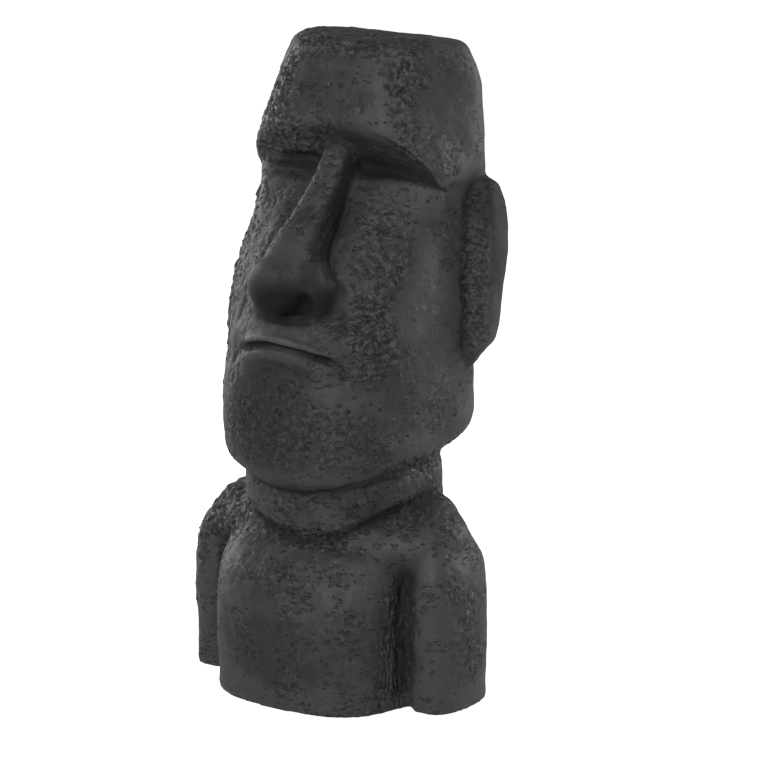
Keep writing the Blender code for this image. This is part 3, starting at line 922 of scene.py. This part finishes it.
def cast_stone(settings):
    """Matt charcoal cast stone: mottled body, painted shade in hollows and pits, pale rubbed
    edges with painted highlights and glints, fine grain.
    """
    material = bpy.data.materials.new(SLOT)
    material.use_nodes = True
    tree = material.node_tree
    shader = tree.nodes["Principled BSDF"]
    place = add(tree, "ShaderNodeTexCoord").outputs["Object"]
    times = partial(product, tree)

    def cloud(size, detail, rough=0.55, vector=place):
        node = add(
            tree, "ShaderNodeTexNoise",
            {"Vector": vector, "Scale": 1.0 / size, "Detail": detail, "Roughness": rough},
        )
        return node.outputs[0]

    def attribute(name):
        node = add(tree, "ShaderNodeAttribute", attribute_name=name, attribute_type="GEOMETRY")
        return node.outputs["Fac"]

    work, keep, wash = attribute("work"), attribute("keep"), attribute("wash")
    chip, chance = flats(tree, place, settings.chip_size)
    grain = cloud(settings.grain_size, 4.0, 0.65)
    mottle = remap(tree, cloud(MOTTLE_SIZE, 5.0, 0.65), 0.38, 0.62)
    ticks, lips = [], []
    for turn, tilt, shift in FINE_PITS:
        turned = add(
            tree, "ShaderNodeMapping",
            {"Vector": place, "Rotation": (tilt, turn, tilt), "Scale": PIT_STRETCH,
             "Location": (shift, shift, shift)},
        ).outputs[0]
        crowd = maths(tree, "ADD", cloud((17 + 3 * shift) * MM, 2.0), times(work, 0.1))
        edge = remap(tree, crowd, 0.42, 0.7, 0.76, 0.56)
        above = maths(tree, "SUBTRACT", cloud(settings.pit_size, 1.5, 0.5, turned), edge)
        ticks.append(remap(tree, above, 0.0, 0.035))
        lips.append(remap(tree, above, -0.06, 0.0))
    # Painted shade: the fine pits are darker
    tick = times(maths(tree, "MAXIMUM", *ticks), keep)
    # Painted highlight: the rims round the fine pits are paler
    lip = maths(tree, "SUBTRACT", times(maths(tree, "MAXIMUM", *lips), keep), tick, clamp=True)
    # Painted glints: random chipped flats on worked stone are made paler
    high = times(remap(tree, chance, 0.45, 1.0), work)
    deep = remap(tree, attribute("hollow"), *DEEP_MARK)

    stone = settings.body
    for share, strength, coat in (
        (mottle, settings.mottling, settings.dark),
        (attribute("cool"), settings.bloom, settings.cool),
        (attribute("warm"), settings.bloom, settings.warm),
        # Painted glints on chipped flats
        (high, settings.chip_wear, settings.worn),
        # Painted light: broad swellings paler
        (attribute("pale"), settings.swell_wear, settings.worn),
        # Painted highlight on the rims of the fine pits
        (lip, settings.lip_wear, settings.worn),
        # Sharp raised edges paler: rubbed wear and painted highlight
        (attribute("worn"), settings.edge_wear, settings.worn),
        # Painted shade in pits, strokes and fine pits
        (maths(tree, "MAXIMUM", deep, tick), settings.pit_dark, settings.dark),
        # Painted shade under the brow, round the nose, in hollows and cuts
        (wash, 1.0, settings.dark),
    ):
        stone = mix(tree, times(share, strength), stone, coat)
    tree.links.new(stone, shader.inputs["Base Color"])
    shader.inputs["Specular IOR Level"].default_value = settings.shine

    grain_depth = maths(tree, "MULTIPLY_ADD", work, *GRAIN_DEPTH)
    height = times(grain, settings.grain_depth, grain_depth)
    height = maths(tree, "MULTIPLY_ADD", times(chip, work), settings.chip_depth, height)
    height = maths(tree, "SUBTRACT", height, times(tick, settings.pit_depth))
    height = maths(tree, "ADD", height, times(lip, settings.lip_height))
    bumped = add(
        tree, "ShaderNodeBump", {"Strength": 1.0, "Distance": 1.0, "Height": height}
    )
    tree.links.new(bumped.outputs[0], shader.inputs["Normal"])
    matt = maths(tree, "MULTIPLY_ADD", work, -settings.work_polish, settings.roughness)
    matt = maths(tree, "MULTIPLY_ADD", wash, settings.wash_matt, matt)
    tree.links.new(matt, shader.inputs["Roughness"])
    return material


def standing_out(mesh, rounds):
    """How far each point stands out of its surroundings, more of them with more rounds."""
    points = read(mesh)
    smooth = relax(points, neighbours(mesh), rounds)
    return ((points - smooth) * read(mesh, "normal")).sum(axis=1)


def mark_shade_light_and_tint(mesh):
    """Stores where shade is painted dark, where broad swellings are painted pale as light, and
    where the stone has a faint bloom.
    """
    points = read(mesh)
    x, y, z = points.T
    gap, along = crest_gap(points), nose_side(points)
    out = standing_out(mesh, FORM_ROUNDS)
    # Painted shade on the visor's lip and under the brow, on the nose's side planes, in broad
    # hollows and along the cuts
    under = LIP_SHADE * step(-0.02, 0.1, gap) + VISOR_SHADE * step(0.1, 0.9, gap)
    under *= step(1.05, 0.98, gap) * step(*BROW_FRONT, y) * step(4, 20, x) * step(96, 90, x)
    plane = NOSE_SHADE * step(-0.1, 0.5, along) * step(1.5, 1.0, along)
    plane *= step(362, 374, z) * step(452, 440, z) * step(30, 20, y)
    hollow = HOLLOW_SHADE * step(*DARK_HOLLOW, out) * step(50, 25, y) * step(280, 250, z)
    wash = np.maximum.reduce([under, plane, hollow, near(points, SHADE_PLACES)])
    for path, half, depth in cut_paths(mesh):
        if depth > 0:
            strength = min(CUT_SHADE, depth / FULL_SHADE_DEPTH)
            wash = np.maximum(wash, strength * path_weight(points, path, half))
    store(mesh, "wash", wash)
    # Painted light on the broad swellings
    store(mesh, "pale", step(*LIT_SWELL, out))
    # The violet tint is also painted light on the near ear
    store(mesh, "cool", near(points, COOL_PLACES))
    store(mesh, "warm", near(points, WARM_PLACES))


class MOAI_OT_statue(bpy.types.Operator):
    """Carve and finish the statue on its solid"""

    bl_idname = "moai.statue"
    bl_label = "Statue"

    def execute(self, context):
        relief = context.scene.moai_relief
        statue = fine_copy(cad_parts[NODE], relief.fineness)
        points = read(statue.data)
        carve_visor(points)
        carve_nose(points)
        carve_pushes(points)
        write(statue.data, points)
        carve_cuts(statue.data)
        apply(statue, "REMESH", mode="VOXEL", voxel_size=relief.fineness)
        points = read(statue.data)
        share = step(*OFF_GROUND, points[:, 2])
        write(statue.data, relax(points, neighbours(statue.data), 1, share))
        mark_work(statue.data)
        cut_relief(statue, relief, cast_stone(context.scene.moai_finish))
        # Sharp raised edges are paler: partly rubbed wear, partly painted highlight
        out = standing_out(statue.data, EDGE_ROUNDS)
        store(statue.data, "worn", step(*WORN_AND_LIT_EDGE, out))
        kept = relief.triangles / (2 * len(statue.data.polygons))
        apply(statue, "DECIMATE", ratio=min(1.0, kept))
        keep_in_box(statue.data)
        mark_shade_light_and_tint(statue.data)
        statue.data.shade_smooth()
        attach(statue, "root")
        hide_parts(NODE)
        return {"FINISHED"}


# ---------------------------------------------------------------- stage

WHITE = (1, 1, 1, 1)
FLOOR_SIZE = 12.0
FLOOR_GAP = 0.5 * MM
AIM = (0, 0, 0.27)
# Each light: where it stands, and the length of its edge
LIGHTS = {
    "left": ((-2.05, 0.45, 0.6), 1.0),
    "fill": ((0.25, -1.97, 1.5), 1.2),
    "right": ((1.35, 1.68, 0.9), 1.0),
}


def seen_by_camera(tree):
    """1 for what the camera sees straight, 0 for light that comes off something else."""
    return add(tree, "ShaderNodeLightPath").outputs["Is Camera Ray"]


def lay_floor(settings):
    """A pale matt floor that looks lit from below to the camera alone."""
    bpy.ops.mesh.primitive_plane_add(size=FLOOR_SIZE, location=(0, 0, -FLOOR_GAP))
    floor = bpy.context.object
    floor.name = "floor"
    paint = bpy.data.materials.new("pale_floor")
    paint.use_nodes = True
    tree = paint.node_tree
    shader = tree.nodes["Principled BSDF"]
    shader.inputs["Base Color"].default_value = settings.floor
    shader.inputs["Roughness"].default_value = 0.9
    shader.inputs["Specular IOR Level"].default_value = 0.1
    shader.inputs["Emission Color"].default_value = WHITE
    glow = maths(tree, "MULTIPLY", seen_by_camera(tree), settings.glow)
    tree.links.new(glow, shader.inputs["Emission Strength"])
    floor.data.materials.append(paint)


def area_light(name, place, size, power):
    """A square light that looks at the statue's middle."""
    light = bpy.data.lights.new(name, "AREA")
    light.energy = power
    light.size = size
    obj = bpy.data.objects.new(name, light)
    obj.visible_camera = False
    obj.location = place
    obj.rotation_euler = (Vector(AIM) - Vector(place)).to_track_quat("-Z", "Y").to_euler()
    bpy.context.scene.collection.objects.link(obj)


def light_world(scene, settings):
    """Soft light from all round, and a white backdrop for the camera."""
    world = bpy.data.worlds.new("studio")
    world.use_nodes = True
    tree = world.node_tree
    ambient = tree.nodes["Background"]
    ambient.inputs["Color"].default_value = WHITE
    ambient.inputs["Strength"].default_value = settings.ambient
    backdrop = add(tree, "ShaderNodeBackground", {"Color": WHITE, "Strength": 1.0})
    either = add(
        tree, "ShaderNodeMixShader",
        {0: seen_by_camera(tree), 1: ambient.outputs[0], 2: backdrop.outputs[0]},
    )
    tree.links.new(either.outputs[0], tree.nodes["World Output"].inputs["Surface"])
    scene.world = world


def place_camera(scene, settings):
    """The camera, a step back and to the statue's left, looking a little down."""
    lens = bpy.data.cameras.new("camera")
    lens.lens = settings.lens
    camera = bpy.data.objects.new("camera", lens)
    side, back = math.sin(settings.azimuth), math.cos(settings.azimuth)
    camera.location = (settings.distance * side, -settings.distance * back, settings.height)
    camera.rotation_euler = (
        math.pi / 2 - settings.pitch, 0, settings.azimuth - settings.yaw
    )
    scene.collection.objects.link(camera)
    scene.camera = camera


class MOAI_OT_stage(bpy.types.Operator):
    """Set up the floor, the lights and the camera"""

    bl_idname = "moai.stage"
    bl_label = "Stage"

    def execute(self, context):
        scene = context.scene
        settings = scene.moai_stage
        lay_floor(settings)
        for name, (place, size) in LIGHTS.items():
            area_light(name + "_light", place, size, getattr(settings, name))
        light_world(scene, settings)
        place_camera(scene, settings)
        scene.view_settings.view_transform = "Standard"
        return {"FINISHED"}


class MOAI_PT_panel(bpy.types.Panel):
    """Lists the statue's tools and their sizes"""

    bl_idname = "MOAI_PT_panel"
    bl_label = "Moai Statue"
    bl_space_type = "VIEW_3D"
    bl_region_type = "UI"
    bl_category = "Moai"

    def draw(self, context):
        for operator, group in ((MOAI_OT_statue, "moai_relief"), (None, "moai_finish"),
                                (MOAI_OT_stage, "moai_stage")):
            box = self.layout.box()
            settings = getattr(context.scene, group)
            for key in settings.__annotations__:
                box.prop(settings, key)
            if operator:
                box.operator(operator.bl_idname)


GROUPS = {"moai_relief": MoaiRelief, "moai_finish": MoaiFinish, "moai_stage": MoaiStage}
CLASSES = (*GROUPS.values(), MOAI_OT_statue, MOAI_OT_stage, MOAI_PT_panel)


def register():
    for item in CLASSES:
        bpy.utils.register_class(item)
    for name, group in GROUPS.items():
        setattr(bpy.types.Scene, name, bpy.props.PointerProperty(type=group))


def unregister():
    for name in GROUPS:
        delattr(bpy.types.Scene, name)
    for item in reversed(CLASSES):
        bpy.utils.unregister_class(item)


def main():
    register()
    bpy.ops.moai.stage()
    bpy.ops.moai.statue()


if __name__ == "__main__":
    main()
